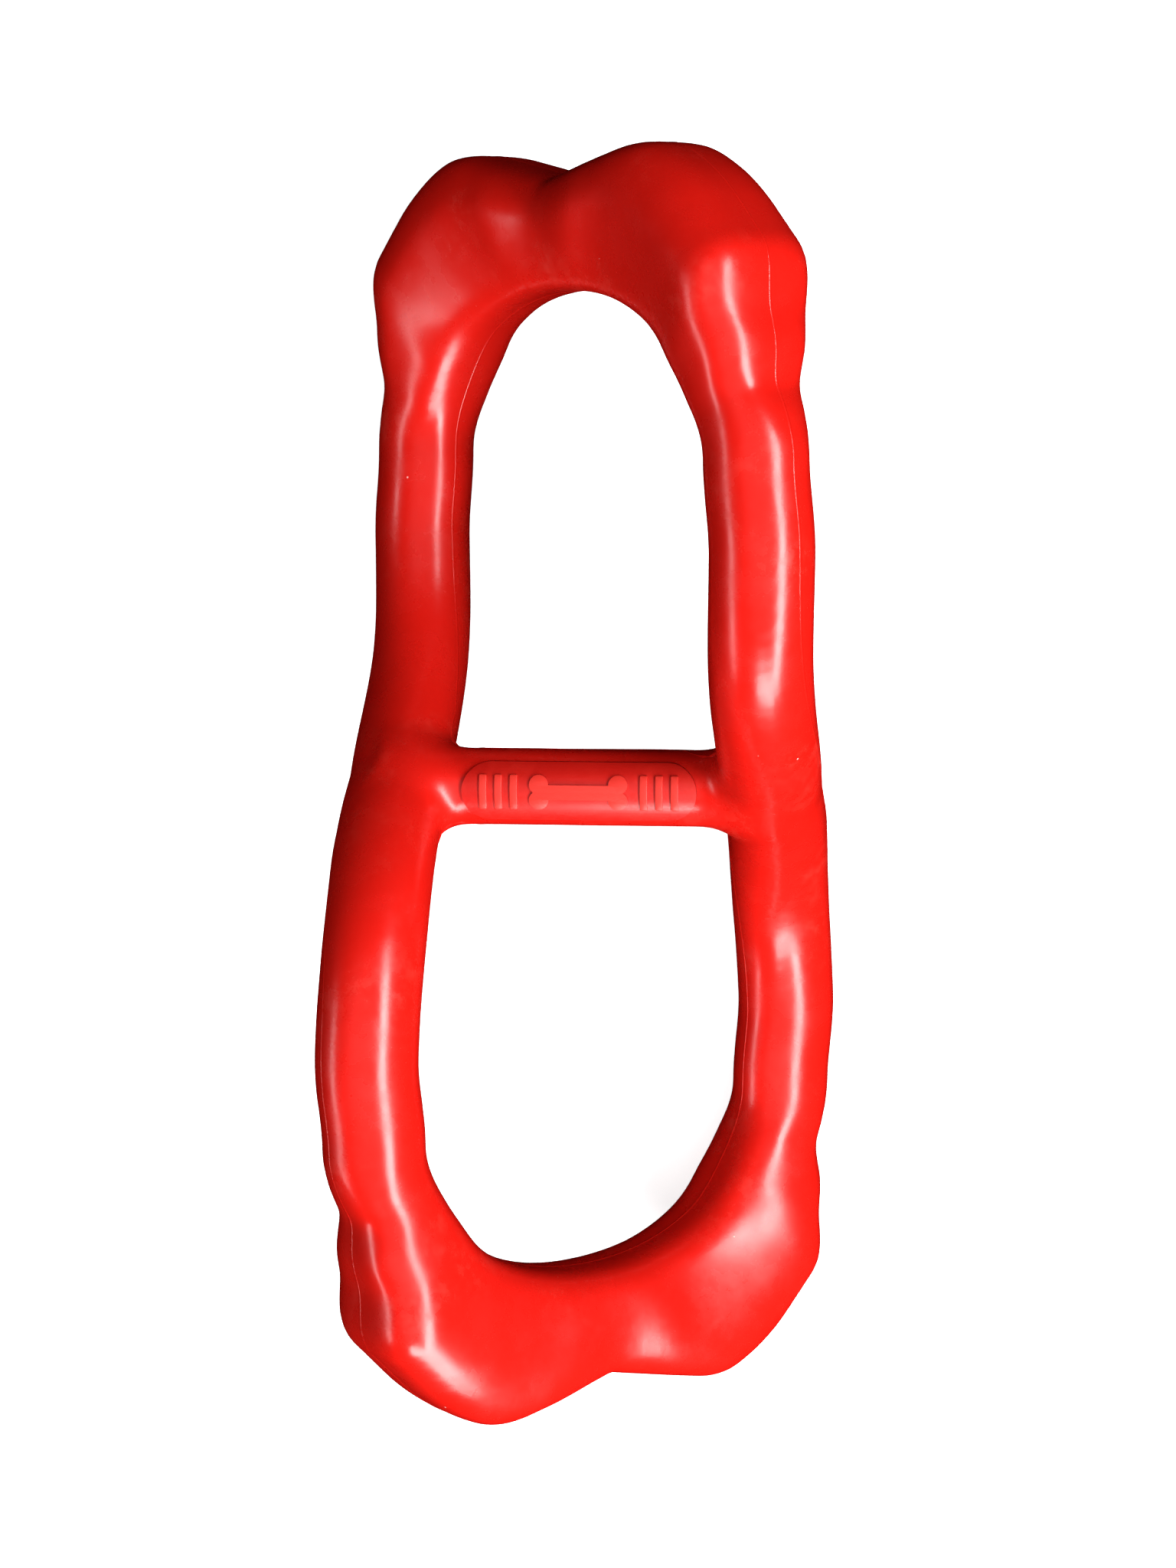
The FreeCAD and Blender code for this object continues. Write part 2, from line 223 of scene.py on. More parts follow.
# Directions round an arch, in degrees: 0 is level with the arch's centre, 90 is straight up.
NECK_ENDS = 17
OUTLINE_SWELLS = (13, 36)
FLATS_TAKE_OVER = (8, 29)
SIDE_FADES = 20
KNUCKLE_DEEPENS = (9, 38)
NOTCH_THINS = (73, 90)
SECTION_SQUARES = 32
SHOULDER_ENDS = 45

SIDE_FLARE = 3 * MM
TAPER_RUN = 8 * MM
TUBE_REACH = 12 * MM
TUBE_ROUNDS = 3


def smoothstep(values, low, high):
    """0 below low, 1 above high, and a smooth rise between."""
    share = np.clip((values - low) / (high - low), 0.0, 1.0)
    return share * share * (3 - 2 * share)


def swing(direction, low, high):
    """A smooth rise from 0 to 1 between two directions round the arch, in degrees."""
    return smoothstep(direction, math.radians(low), math.radians(high))


def soft_min(first, second, width):
    """The smaller of two fields, with the corner between them rounded over a width."""
    near = np.clip(width - np.abs(first - second), 0.0, None) / width
    return np.minimum(first, second) - near * near * width / 4


def turn_at(shape, level):
    """How far the toy is turned about Y at a level along Y."""
    return shape.loop_twist * np.tanh(level / shape.twist_run)


def flat_coordinates(shape, x, y, z):
    """Undoes the twist: span across the loop and depth through it."""
    turn = turn_at(shape, y)
    return x * np.cos(turn) + z * np.sin(turn), z * np.cos(turn) - x * np.sin(turn)


def twisted(shape, span, rise):
    """The point of the toy that a point in the middle of the flat upper loop becomes."""
    turn = turn_at(shape, rise)
    return np.stack([span * np.cos(turn), rise, span * np.sin(turn)], axis=-1)


def opening_half_span(shape, rise):
    """Half span between the rails, from the waist to the arch's centre.

    It lies halfway between a plain flare and the flare that keeps the turning rails straight
    when the toy is seen from the front.
    """
    rail = shape.rail_width / 2
    waist = shape.waist_inner + rail
    bulge = (shape.bulge_inner + rail) * np.cos(turn_at(shape, shape.bulge_rise))
    reached = np.clip(rise / shape.bulge_rise, 0.0, 1.0)
    narrowing = np.cos(turn_at(shape, np.minimum(rise, shape.bulge_rise)))
    straight = (waist + (bulge - waist) * reached) / narrowing - rail
    flare = np.sin(reached * math.pi / 2) ** shape.flare_power
    curved = shape.waist_inner + (shape.bulge_inner - shape.waist_inner) * flare
    taper = smoothstep(rise, shape.bulge_rise - TAPER_RUN, shape.arch_centre)
    return (straight + curved) / 2 - shape.arch_taper * taper


def oval(shape, direction):
    """Radius of the opening's oval."""
    half_span = shape.bulge_inner - shape.arch_taper
    across = (np.cos(direction) / half_span) ** shape.arch_fullness
    along = (np.sin(direction) / shape.arch_rise) ** shape.arch_fullness
    return (across + along) ** (-1 / shape.arch_fullness)


def opening_radius(shape, direction):
    """Radius of the opening: the oval with its shoulders drawn in."""
    reached = np.clip(direction / math.radians(SHOULDER_ENDS), 0.0, 1.0)
    shoulder = (1 - np.cos(2 * math.pi * reached)) / 2
    return oval(shape, direction) - shape.arch_pinch * shoulder


def facet(distance, facing, direction):
    """Radius of a flat that faces one way, seen in another direction."""
    return distance / np.maximum(np.cos(direction - facing), 0.2)


def outline_radius(shape, direction):
    """Outer radius of the arch: rail, neck and the knuckle's flats down to the notch."""
    half_span = shape.bulge_inner - shape.arch_taper
    neck = swing(direction, 0, NECK_ENDS)
    rail = half_span + shape.rail_width + (shape.neck_wall - shape.rail_width) * neck
    rail = rail + shape.rail_width * swing(direction, *OUTLINE_SWELLS)
    side = facet(half_span + shape.side_wall, 0.0, direction)
    side = side + SIDE_FLARE * (1 - swing(direction, 0, SIDE_FADES))
    corner_distance = oval(shape, shape.corner_angle) + shape.corner_wall
    crown_distance = oval(shape, shape.crown_angle) + shape.crown_wall
    notch_lean = math.cos(shape.notch_angle - math.pi / 2)
    notch_distance = (shape.arch_rise + shape.notch_wall) * notch_lean
    corner = facet(corner_distance, shape.corner_angle, direction)
    crown = facet(crown_distance, shape.crown_angle, direction)
    notch = facet(notch_distance, shape.notch_angle, direction)
    edge = shape.knuckle_edge
    flats = soft_min(soft_min(side, corner, edge), soft_min(crown, notch, edge), edge)
    on_flats = swing(direction, *FLATS_TAKE_OVER)
    return rail * (1 - on_flats) + flats * on_flats


def arch_depth(shape, direction):
    """Depth of the arch: neck, knuckle and notch."""
    depth = shape.rail_depth
    depth = depth + (shape.neck_depth - shape.rail_depth) * swing(direction, 0, NECK_ENDS)
    depth = depth + (shape.knuckle_depth - shape.neck_depth) * swing(direction, *KNUCKLE_DEEPENS)
    return depth + (shape.notch_depth - shape.knuckle_depth) * swing(direction, *NOTCH_THINS)


def rail_middle(shape, level):
    """The middle of the rail on the crossbar's +X side at a level along Y, and the turn there."""
    inner = opening_half_span(shape, np.minimum(np.abs(level), shape.arch_centre))
    span = inner + shape.rail_width / 2
    turn = turn_at(shape, level)
    return np.stack((span * np.cos(turn), level, span * np.sin(turn))), turn


def rail_field(shape, x, y, z):
    """A rail is a round rod on a curve that spreads and turns along Y.

    The level of the nearest point of the curve is found by stepping along it.
    """
    place = np.stack((x, y, z))
    level = y
    for _ in range(TUBE_ROUNDS):
        middle, turn = rail_middle(shape, level)
        run = (rail_middle(shape, level + MM / 2)[0] - middle) * (2 / MM)
        run_squared = (run**2).sum(axis=0)
        offset = place - middle
        step = (offset * run).sum(axis=0) / run_squared
        level = np.clip(level + step, y - TUBE_REACH, y + TUBE_REACH)
    offset = offset - run * step
    outward = np.stack((np.cos(turn), np.zeros_like(turn), np.sin(turn)))
    outward = outward - run * ((outward * run).sum(axis=0) / run_squared)
    across = (offset * outward).sum(axis=0) / np.sqrt((outward**2).sum(axis=0))
    through = np.sqrt(np.maximum((offset**2).sum(axis=0) - across**2, 0.0))
    return np.hypot(across * 2 / shape.rail_width, through * 2 / shape.rail_depth)


def loop_field(shape, x, y, z):
    """Below 0 inside a loop.  Near the surface it grows about as fast as the distance."""
    span, depth = flat_coordinates(shape, x, y, z)
    side = np.where(span < 0, -1.0, 1.0)
    span, rise = np.abs(span), np.abs(y)
    rail = rail_field(shape, side * x, y, side * z)

    above = np.maximum(rise - shape.arch_centre, 0.0)
    direction = np.arctan2(above, np.maximum(span, 0.1 * MM))
    radius = np.hypot(span, above)
    opening = opening_radius(shape, direction)
    outline = outline_radius(shape, direction)
    across = (radius - opening) * 2 / (outline - opening) - 1
    slimmed = shape.inner_slim * smoothstep(-across, -0.4, 1.0)
    full_depth = arch_depth(shape, direction)
    through = depth * 2 / (full_depth + (shape.rail_depth - full_depth) * slimmed)
    power = 2 + (shape.knuckle_power - 2) * swing(direction, 0, SECTION_SQUARES)
    arch = (np.abs(across) ** power + np.abs(through) ** power) ** (1 / power)
    return (np.where(rise > shape.arch_centre, arch, rail) - 1) * shape.rail_width / 2


def bar_field(shape, x, y, z):
    """Below 0 inside the crossbar, which ends inside the rails."""
    end = np.abs(x) - (shape.waist_inner + shape.rail_width / 2)
    return np.maximum(np.hypot(y, z) - BAR_RADIUS, end)


def moulding_field(shape, points):
    """The whole moulding: loops and crossbar run together, with a slightly uneven skin.

    Its waves are 30 to 38 mm long, and the ripples on them about 15 mm.
    """
    x, y, z = points[..., 0], points[..., 1], points[..., 2]
    loops = loop_field(shape, x, y, z)
    toy = soft_min(loops, bar_field(shape, x, y, z), shape.bar_fillet)
    wave = np.sin(x * 190 + 1.3 + 60 * y) * np.sin(y * 165 + 0.4) * np.sin(z * 210 + 2.1)
    ripple = np.sin(x * 420 + 260 * z) * np.sin(y * 390 + 1.9)
    return toy + shape.waviness * (wave + 0.35 * ripple)


def gradient(shape, points, step=0.05 * MM):
    """Slope of the field along X, Y and Z."""
    slopes = []
    for axis in range(3):
        shift = np.zeros(3)
        shift[axis] = step
        ahead = moulding_field(shape, points + shift)
        behind = moulding_field(shape, points - shift)
        slopes.append((ahead - behind) / (2 * step))
    return np.stack(slopes, axis=-1)


def settle(shape, points, rounds=4):
    """Moves points that lie near the surface onto it."""
    for _ in range(rounds):
        slope = gradient(shape, points)
        size = np.maximum((slope**2).sum(axis=-1), 1e-9)
        points = points - slope * (moulding_field(shape, points) / size)[..., None]
    return points


def surface_net(shape, low, high, pitch):
    """Quads over the field's zero level: one vertex in each grid cell that it passes through."""
    margin = 4 * pitch
    axes = [np.arange(low[i] - margin, high[i] + margin, pitch) for i in range(3)]
    count = [len(axis) for axis in axes]
    field = np.empty(count)
    flat = np.stack(np.meshgrid(axes[1], axes[2], indexing="ij"), axis=-1)
    for index, x in enumerate(axes[0]):
        plane = np.concatenate([np.full(flat.shape[:2] + (1,), x), flat], axis=-1)
        field[index] = moulding_field(shape, plane)
    inside = field < 0

    cells = tuple(n - 1 for n in count)
    total, hits = np.zeros(cells + (3,)), np.zeros(cells)
    crossings = []
    for axis in range(3):
        here = [slice(None)] * 3
        there = [slice(None)] * 3
        here[axis], there[axis] = slice(None, -1), slice(1, None)
        changed = inside[tuple(here)] != inside[tuple(there)]
        edge = np.argwhere(changed)
        first = field[tuple(here)][changed]
        second = field[tuple(there)][changed]
        where = edge.astype(float)
        where[:, axis] += first / (first - second)
        crossings.append((axis, edge, inside[tuple(here)][changed]))
        others = [a for a in range(3) if a != axis]
        for one in (0, 1):
            for two in (0, 1):
                cell = edge.copy()
                cell[:, others[0]] -= one
                cell[:, others[1]] -= two
                at = tuple(cell.T)
                np.add.at(total, at, where)
                np.add.at(hits, at, 1)

    number_of = np.full(cells, -1)
    used = hits > 0
    number_of[used] = np.arange(used.sum())
    origin = np.array([axis[0] for axis in axes])
    points = origin + total[used] / hits[used][:, None] * pitch

    quads = []
    for axis, edge, starts_inside in crossings:
        one, two = (axis + 1) % 3, (axis + 2) % 3
        ring = []
        for step_one, step_two in ((0, 0), (1, 0), (1, 1), (0, 1)):
            cell = edge.copy()
            cell[:, one] -= step_one
            cell[:, two] -= step_two
            ring.append(number_of[tuple(cell.T)])
        quad = np.stack(ring, axis=-1)
        quad[~starts_inside] = quad[~starts_inside][:, ::-1]
        quads.append(quad)
    return points, np.concatenate(quads)


def neighbour_pairs(quads):
    """Each pair of points that an edge joins."""
    pairs = np.concatenate([quads[:, [i, (i + 1) % 4]] for i in range(4)])
    return np.unique(np.sort(pairs, axis=1), axis=0)


def neighbour_middles(points, pairs):
    """For each point, the middle of the points that its edges lead to."""
    here, there = pairs.T
    size = len(points)
    count = np.bincount(here, minlength=size) + np.bincount(there, minlength=size)
    total = np.empty_like(points)
    for axis in range(3):
        total[:, axis] = np.bincount(here, points[there, axis], size)
        total[:, axis] += np.bincount(there, points[here, axis], size)
    return total / count[:, None]


def evened(shape, points, pairs, rounds=3):
    """Evens out the net's spacing and keeps its points on the surface."""
    for _ in range(rounds):
        points = points * 0.4 + neighbour_middles(points, pairs) * 0.6
        points = settle(shape, points, rounds=2)
    return points


def softened(points, pairs, rounds):
    """Rounds the creases between one form and the next, without shrinking the whole."""
    for _ in range(rounds):
        for step in (0.50, -0.52):
            points = points + step * (neighbour_middles(points, pairs) - points)
    return points


def toy_piece(name, data, material):
    """An object of one material that rides on the toy."""
    piece = bpy.data.objects.new(name, data)
    bpy.context.scene.collection.objects.link(piece)
    data.materials.append(material)
    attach(piece, BODY)
    return piece


# ---------------------------------------------------------------------------------------------
# Materials
# ---------------------------------------------------------------------------------------------


def add_node(tree, kind, settings=None, links=None, output=None):
    """Adds a node with its settings and links, and gives the node or one of its outputs."""
    node = tree.nodes.new(kind)
    for name, value in (settings or {}).items():
        if isinstance(name, int) or name in node.inputs:
            node.inputs[name].default_value = value
        else:
            setattr(node, name, value)
    for name, socket in (links or {}).items():
        tree.links.new(socket, node.inputs[name])
    return node if output is None else node.outputs[output]


def new_material(name):
    """An empty material, its node tree and the shader that its surface uses."""
    material = bpy.data.materials.new(name)
    material.use_nodes = True
    tree = material.node_tree
    tree.nodes.clear()
    shader = add_node(tree, "ShaderNodeBsdfPrincipled")
    add_node(tree, "ShaderNodeOutputMaterial", links={"Surface": shader.outputs["BSDF"]})
    return material, tree, shader


def per_metre(millimetres):
    """Scale of a texture whose features are this many millimetres apart."""
    return 1 / (millimetres * MM)


# Settings that several nodes share.  A colour mix has its colours at inputs 6 and 7, and gives
# the mixed colour at output 2.
SMOOTH = {"interpolation_type": "SMOOTHSTEP"}
COLOURS = {"data_type": "RGBA"}
MIXED = 2
RUBBER_IOR = 1.52
# The wave texture's bands are 2 pi / 20 apart at scale 1.
WAVE_SPACING = math.tau / 20


def moulded_red_rubber(finish):
    """Red natural rubber, as it comes out of a polished steel mould: a soft gloss with long
    highlights, dulled in cloudy patches by handling and bloom, with the mould's fine tool marks
    and a few specks of dust."""
    material, tree, shader = new_material("moulded_red_rubber")
    place = add_node(tree, "ShaderNodeTexCoord", output="Object")

    # Cloudy patches, 25 mm apart, and finer mottling, 4 mm apart, where hands have dulled it.
    patches = []
    for spacing, detail, roughness, low, high in (
        (25, 3, 0.6, 0.50, 0.72),
        (4, 5, 0.7, 0.40, 0.75),
    ):
        cloud = add_node(
            tree,
            "ShaderNodeTexNoise",
            {"Scale": per_metre(spacing), "Detail": detail, "Roughness": roughness},
            {"Vector": place},
            "Fac",
        )
        limits = {**SMOOTH, "From Min": low, "From Max": high}
        patches.append(add_node(tree, "ShaderNodeMapRange", limits, {"Value": cloud}, "Result"))
    handled = add_node(
        tree, "ShaderNodeMath", {"operation": "MULTIPLY"}, dict(enumerate(patches)), "Value"
    )

    # Dust: specks about 0.4 mm across, one to every 9 mm or so, on some of the cells only.
    cells = add_node(
        tree, "ShaderNodeTexVoronoi", {"Scale": per_metre(9)}, {"Vector": place}
    )
    speck = add_node(
        tree,
        "ShaderNodeMapRange",
        {**SMOOTH, "From Min": 0.020, "From Max": 0.032, "To Min": 1.0, "To Max": 0.0},
        {"Value": cells.outputs["Distance"]},
        "Result",
    )
    chance = add_node(
        tree, "ShaderNodeSeparateColor", links={"Color": cells.outputs["Color"]}, output="Red"
    )
    chosen = add_node(
        tree,
        "ShaderNodeMapRange",
        {**SMOOTH, "From Min": 0.70, "From Max": 0.74},
        {"Value": chance},
        "Result",
    )
    dust = add_node(
        tree, "ShaderNodeMath", {"operation": "MULTIPLY"}, {0: speck, 1: chosen}, "Value"
    )

    base = add_node(
        tree,
        "ShaderNodeMix",
        {**COLOURS, 6: (*finish.rubber, 1), 7: (*finish.rubber_worn, 1)},
        {"Factor": handled},
        MIXED,
    )
    dusted = add_node(
        tree, "ShaderNodeMix", {**COLOURS, 7: (*finish.dust, 1)}, {"Factor": dust, 6: base}, MIXED
    )
    tree.links.new(dusted, shader.inputs["Base Color"])

    # Gloss: roughness 0.22 where the mould's polish shows, and up to 0.16 more where it is
    # handled.  It drifts over 11 mm.
    drift = add_node(
        tree,
        "ShaderNodeTexNoise",
        {"Scale": per_metre(11), "Detail": 4, "Roughness": 0.6},
        {"Vector": place},
        "Fac",
    )
    gloss = add_node(
        tree,
        "ShaderNodeMapRange",
        {**SMOOTH, "From Min": 0.30, "From Max": 0.80, "To Min": 0.22, "To Max": 0.33},
        {"Value": drift},
        "Result",
    )
    rough = add_node(
        tree,
        "ShaderNodeMath",
        {"operation": "MULTIPLY_ADD", 1: 0.16},
        {0: handled, 2: gloss},
        "Value",
    )
    tree.links.new(rough, shader.inputs["Roughness"])

    # Tool marks: fine lines across the rails.  Real ones are about 0.3 mm apart; they are drawn
    # 5.7 mm apart and broken up, so that they show as faint bars in the highlights.
    marks = add_node(
        tree,
        "ShaderNodeTexWave",
        {
            "wave_type": "BANDS",
            "bands_direction": "Y",
            "Scale": per_metre(5.655) * WAVE_SPACING,
            "Distortion": 3.0,
            "Detail": 2.0,
            "Detail Scale": 0.6,
        },
        {"Vector": place},
        "Fac",
    )
    # The skin itself: a soft unevenness 1.2 mm apart.
    skin = add_node(
        tree,
        "ShaderNodeTexNoise",
        {"Scale": per_metre(1.2), "Detail": 4, "Roughness": 0.6},
        {"Vector": place},
        "Fac",
    )
    normal = {}
    for height, strength, depth in ((marks, 0.10, 0.05), (skin, 0.16, 0.08), (dust, 0.5, 0.15)):
        bump = add_node(
            tree,
            "ShaderNodeBump",
            {"Strength": strength, "Distance": depth * MM},
            {"Height": height, **normal},
            "Normal",
        )
        normal = {"Normal": bump}
    tree.links.new(bump, shader.inputs["Normal"])
    shader.inputs["IOR"].default_value = RUBBER_IOR
    shader.inputs["Subsurface Weight"].default_value = 0.05
    shader.inputs["Subsurface Radius"].default_value = (1.0, 0.15, 0.1)
    shader.inputs["Subsurface Scale"].default_value = 2 * MM
    return material


def etched_red_rubber(finish):
    """The same rubber where the mould's cavity was left etched: the badge has less gloss and a
    deeper red than the moulding, with a fine even grain."""
    material, tree, shader = new_material("etched_red_rubber")
    place = add_node(tree, "ShaderNodeTexCoord", output="Object")

    # Grain 0.5 mm apart, and cloudy patches 8 mm apart.
    grain, cloud = (
        add_node(
            tree,
            "ShaderNodeTexNoise",
            {"Scale": per_metre(spacing), "Detail": 3.0},
            {"Vector": place},
            "Fac",
        )
        for spacing in (0.5, 8)
    )

    # Height is measured out from the crossbar's axis.  Painted shade darkens the corner round the
    # pad's foot, and painted light makes the tops of the marks lighter, so that the low relief
    # shows.
    round_bar = add_node(
        tree,
        "ShaderNodeVectorMath",
        {"operation": "MULTIPLY", 1: (0.0, 1.0, 1.0)},
        {0: place},
        "Vector",
    )
    height = add_node(
        tree, "ShaderNodeVectorMath", {"operation": "LENGTH"}, {0: round_bar}, "Value"
    )
    tint = None
    face = PAD_HIGH[2]
    for source, low, high, settings, below in (
        (cloud, 0.4, 0.7, {6: (*finish.badge, 1), 7: (*finish.badge_worn, 1)}, None),
        # Painted shade in the corner round the pad's foot.
        (height, face - 0.7 * MM, face - 0.15 * MM, {6: (*finish.badge_foot, 1)}, 7),
        # Painted light on the tops of the marks.
        (height, face + 0.1 * MM, MARK_HIGH[2] - 0.1 * MM, {7: (*finish.marks, 1)}, 6),
    ):
        limits = {**SMOOTH, "From Min": low, "From Max": high}
        share = add_node(tree, "ShaderNodeMapRange", limits, {"Value": source}, "Result")
        links = {"Factor": share} if below is None else {"Factor": share, below: tint}
        tint = add_node(tree, "ShaderNodeMix", {**COLOURS, **settings}, links, MIXED)
    tree.links.new(tint, shader.inputs["Base Color"])

    rough = add_node(
        tree,
        "ShaderNodeMapRange",
        {**SMOOTH, "From Min": 0.3, "From Max": 0.7, "To Min": 0.32, "To Max": 0.42},
        {"Value": grain},
        "Result",
    )
    tree.links.new(rough, shader.inputs["Roughness"])
    bump = add_node(
        tree,
        "ShaderNodeBump",
        {"Strength": 0.2, "Distance": 0.05 * MM},
        {"Height": grain},
        "Normal",
    )
    tree.links.new(bump, shader.inputs["Normal"])
    shader.inputs["IOR"].default_value = RUBBER_IOR
    return material


def pale_sheet(finish):
    """White matte paper under the toy, lit evenly from behind like a lightbox."""
    material, _, shader = new_material("pale_sheet")
    shader.inputs["Base Color"].default_value = (*finish.floor, 1)
    shader.inputs["Emission Color"].default_value = (1, 1, 1, 1)
    shader.inputs["Emission Strength"].default_value = 0.65
    shader.inputs["Roughness"].default_value = 0.9
    shader.inputs["Specular IOR Level"].default_value = 0.2
    return material


def shared_material(make):
    """The material that a function makes, made on first use."""
    made = bpy.data.materials.get(make.__name__)
    return made or make(bpy.context.scene.tug_toy_finish)


# ---------------------------------------------------------------------------------------------
# Badge
# ---------------------------------------------------------------------------------------------


def rounded_bar_outline(half_length, half_width, corner, steps):
    """A rectangle with round corners, counter-clockwise from the right."""
    points = []
    for quarter, (sign_x, sign_y) in enumerate(((1, 1), (-1, 1), (-1, -1), (1, -1))):
        for step in range(steps + 1):
            turn = math.radians(90 * (quarter + step / steps))
            x = sign_x * (half_length - corner) + corner * math.cos(turn)
            y = sign_y * (half_width - corner) + corner * math.sin(turn)
            points.append((x, y))
    return points


def bone_outline(badge, steps=16):
    """A plain bone: two pairs of round knobs joined by a straight shank."""
    knob, spread = badge.bone_knob, badge.bone_spread
    first = -math.asin(spread / knob)
    last = math.pi + math.asin((spread - badge.bone_shank) / knob)
    quarter = []
    for step in range(steps + 1):
        turn = first + (last - first) * step / steps
        x = badge.bone_reach + knob / 2 * math.cos(turn)
        quarter.append((x, spread / 2 + knob / 2 * math.sin(turn)))
    points = list(quarter)
    points += [(-x, y) for x, y in quarter[:0:-1]]
    points += [(-x, -y) for x, y in quarter]
    points += [(x, -y) for x, y in quarter[:0:-1]]
    return points


def raised_piece(name, outline, foot_radius, face_radius, rim_radius, spacing):
    """A raised shape wrapped round the crossbar: an outline with its face on one radius, its foot
    on another and its rim rounded.  It is cut into strips so that it can bend round the bar."""
    solid = bmesh.new()
    solid.faces.new([solid.verts.new((x, y, 0.0)) for x, y in outline])
    low = min(y for _, y in outline)
    high = max(y for _, y in outline)
    for index in range(1, int((high - low) / spacing)):
        bmesh.ops.bisect_plane(
            solid,
            geom=solid.verts[:] + solid.edges[:] + solid.faces[:],
            plane_co=(0, low + index * spacing, 0),
            plane_no=(0, 1, 0),
        )
    made = bmesh.ops.extrude_face_region(solid, geom=solid.faces[:])
    raised = {v for v in made["geom"] if isinstance(v, bmesh.types.BMVert)}
    for vert in solid.verts:
        radius = face_radius if vert in raised else foot_radius
        vert.co.z = math.sqrt(radius**2 - vert.co.y**2)
    rim = []
    for edge in solid.edges:
        both_up = all(v in raised for v in edge.verts)
        walls = [f for f in edge.link_faces if not all(v in raised for v in f.verts)]
        if both_up and walls:
            rim.append(edge)
    bmesh.ops.recalc_face_normals(solid, faces=solid.faces)
    bmesh.ops.bevel(
        solid,
        geom=rim,
        offset=rim_radius,
        segments=3,
        profile=0.5,
        affect="EDGES",
        clamp_overlap=True,
    )
    bmesh.ops.recalc_face_normals(solid, faces=solid.faces)
    mesh = bpy.data.meshes.new(name)
    solid.to_mesh(mesh)
    solid.free()
    mesh.shade_smooth()
    mesh.set_sharp_from_angle(angle=math.radians(50))
    return toy_piece(name, mesh, shared_material(etched_red_rubber))


# ---------------------------------------------------------------------------------------------
# Operators
# ---------------------------------------------------------------------------------------------


class TUGTOY_OT_moulding(bpy.types.Operator):
    """Build the rubber moulding: both hand loops and the crossbar in one skin"""

    bl_idname = "tugtoy.moulding"
    bl_label = "Moulding"

    def execute(self, context):
        shape = context.scene.tug_toy_shape
        points, quads = surface_net(shape, *CAD_BOX, shape.mesh_pitch)
        pairs = neighbour_pairs(quads)
        points = settle(shape, points)
        points = evened(shape, points, pairs)
        points = softened(points, pairs, shape.softening)
        mesh = bpy.data.meshes.new("rubber_moulding")
        mesh.from_pydata(points.tolist(), [], quads.tolist())
        mesh.update()
        mesh.shade_smooth()
        toy = toy_piece("rubber_moulding", mesh, shared_material(moulded_red_rubber))
        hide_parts("upper_loop", "lower_loop", "grip_bar")
        return {"FINISHED"}


class TUGTOY_OT_parting_line(bpy.types.Operator):
    """Build the fine bead that the mould leaves where its halves meet"""

    bl_idname = "tugtoy.parting_line"
    bl_label = "Parting Line"

    def execute(self, context):
        shape = context.scene.tug_toy_shape
        curve = bpy.data.curves.new("parting_line", "CURVE")
        curve.dimensions = "3D"
        curve.bevel_depth = shape.seam_radius
        curve.bevel_resolution = 3
        moulding = context.scene.objects["rubber_moulding"]
        sunk = shape.seam_raise - shape.seam_radius
        for path in (self.outer_path(shape), self.inner_path(shape, 1), self.inner_path(shape, -1)):
            path = settle(shape, path, rounds=8)
            spline = curve.splines.new("POLY")
            spline.points.add(len(path) - 1)
            for point, place in zip(spline.points, path):
                _, nearest, normal, _ = moulding.closest_point_on_mesh(Vector(place))
                point.co = (*(nearest + normal * sunk), 1.0)
            spline.use_cyclic_u = True
        seam = toy_piece("parting_line", curve, shared_material(moulded_red_rubber))
        return {"FINISHED"}

    @staticmethod
    def half_loop(shape, radius_of, half_span_of, lowest):
        """Points of a flat line over one loop, from the right rail to the left."""
        rises = np.linspace(lowest, shape.arch_centre, 50)[:-1]
        turns = np.linspace(0, math.pi, 121)
        radius = radius_of(shape, np.minimum(turns, math.pi - turns))
        right, left = half_span_of(rises), -half_span_of(rises[::-1])
        spans = np.concatenate([right, radius * np.cos(turns), left])
        over = shape.arch_centre + radius * np.sin(turns)
        return twisted(shape, spans, np.concatenate([rises, over, rises[::-1]]))

    def outer_path(self, shape):
        """The line round the outside of both loops."""

        def outside(rise):
            return opening_half_span(shape, rise) + shape.rail_width

        upper = self.half_loop(shape, outline_radius, outside, 0.0)
        lower = upper * np.array([-1, -1, 1])
        return np.concatenate([upper[:-1], lower[:-1]])

    def inner_path(self, shape, side):
        """The line round one opening, and back along the crossbar."""

        def inside(rise):
            return opening_half_span(shape, rise)

        over = self.half_loop(shape, opening_radius, inside, BAR_RADIUS + 7 * MM)
        reach = shape.waist_inner - 9 * MM
        along = np.linspace(-reach, reach, 60)
        bar = np.stack([along, 0 * along + BAR_RADIUS, 0 * along], axis=-1)
        shares = smoothstep(np.linspace(0, 1, 14)[1:-1], 0, 1)
        bend = over[-1] + (bar[0] - over[-1]) * shares[:, None]
        back = bend[::-1] * np.array([-1, 1, -1])
        return np.concatenate([over, bend, bar, back]) * np.array([side, side, 1])


class TUGTOY_OT_badge(bpy.types.Operator):
    """Build the raised badge pad on the crossbar"""

    bl_idname = "tugtoy.badge"
    bl_label = "Badge Pad"

    def execute(self, context):
        badge = context.scene.tug_toy_badge
        half_length = (PAD_HIGH[0] - PAD_LOW[0]) / 2
        half_width = (PAD_HIGH[1] - PAD_LOW[1]) / 2
        outline = rounded_bar_outline(half_length, half_width, half_width * 0.999, 24)
        foot = BAR_RADIUS - badge.pad_foot
        pad = raised_piece("badge_pad_skin", outline, foot, PAD_HIGH[2], badge.pad_rim, 0.7 * MM)
        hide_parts("badge_pad")
        return {"FINISHED"}


